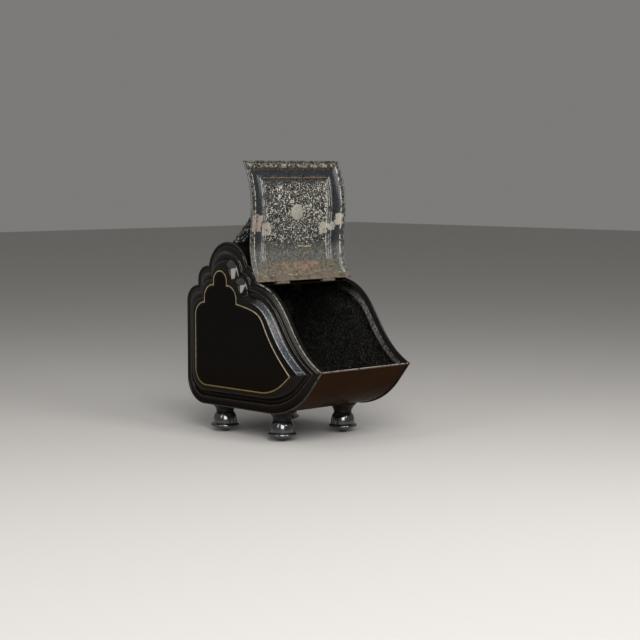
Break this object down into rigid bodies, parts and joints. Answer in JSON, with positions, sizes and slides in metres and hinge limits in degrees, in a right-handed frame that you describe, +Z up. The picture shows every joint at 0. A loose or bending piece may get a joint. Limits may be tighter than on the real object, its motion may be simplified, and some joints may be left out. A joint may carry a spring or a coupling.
{
  "type": "coal scuttle",
  "caption": "Box-shaped black sheet-iron coal scuttle with a lobed crest, dished side panels, sloping ogee mouth, hinged pressed lid, carrying handle and bell-shaped cast feet.",
  "frame": {"origin": "on the ground, under the middle of the object", "axes": "+Z up, the mouth faces -Y, +X to the right of someone who faces the mouth; the lid is stored standing open"},
  "size_m": [0.249, 0.3631, 0.4966],
  "materials": {
    "japanned_sheet": "glossy black japanning with a gilt line round each side's field, chipped along the edges",
    "worn_lid_sheet": "worn black japanning, rubbed through to grey metal",
    "bare_steel": "bare, dull and spotted",
    "rusty_iron": "rusted",
    "black_cast_iron": "glossy black",
    "matt_cast_iron": "matt black"
  },
  "bodies": {
    "body": {"side_panel_left": "japanned_sheet", "rim_bead_left": "japanned_sheet", "mouth_ledge_left": "japanned_sheet", "side_panel_right": "japanned_sheet", "rim_bead_right": "japanned_sheet", "mouth_ledge_right": "japanned_sheet", "foot_collar_front_left": "matt_cast_iron", "foot_front_left": "black_cast_iron", "foot_bolt_front_left": "rusty_iron", "foot_collar_front_right": "matt_cast_iron", "foot_front_right": "black_cast_iron", "foot_bolt_front_right": "rusty_iron", "foot_collar_rear_left": "matt_cast_iron", "foot_rear_left": "black_cast_iron", "foot_bolt_rear_left": "rusty_iron", "foot_collar_rear_right": "matt_cast_iron", "foot_rear_right": "black_cast_iron", "foot_bolt_rear_right": "rusty_iron", "breast_and_bottom_sheet": "japanned_sheet", "back_sheet": "japanned_sheet", "lip_wire": "japanned_sheet", "carrying_handle": "matt_cast_iron", "handle_screw_left": "rusty_iron", "handle_screw_right": "rusty_iron", "hinge_body_leaf_left": "rusty_iron", "hinge_pin_left": "rusty_iron", "body_rivet_left_inner": "rusty_iron", "body_rivet_left_outer": "rusty_iron", "hinge_body_leaf_right": "rusty_iron", "hinge_pin_right": "rusty_iron", "body_rivet_right_inner": "rusty_iron", "body_rivet_right_outer": "rusty_iron", "roof_sheet": "japanned_sheet"},
    "lid": {"lid_sheet": "worn_lid_sheet", "lid_edge_wire": "worn_lid_sheet", "lid_knob": "matt_cast_iron", "knob_backing_plate": "bare_steel", "hinge_lid_leaf_left": "rusty_iron", "lid_rivet_left_inner": "rusty_iron", "lid_rivet_left_outer": "rusty_iron", "hinge_lid_leaf_right": "rusty_iron", "lid_rivet_right_inner": "rusty_iron", "lid_rivet_right_outer": "rusty_iron"}
  },
  "joints": [
    {"name": "lid_hinge", "type": "hinge", "parent": "body", "child": "lid", "pos_m": [0, -0.0257, 0.27988], "axis": [1, 0, 0], "range_deg": [0, 142]}
  ]
}
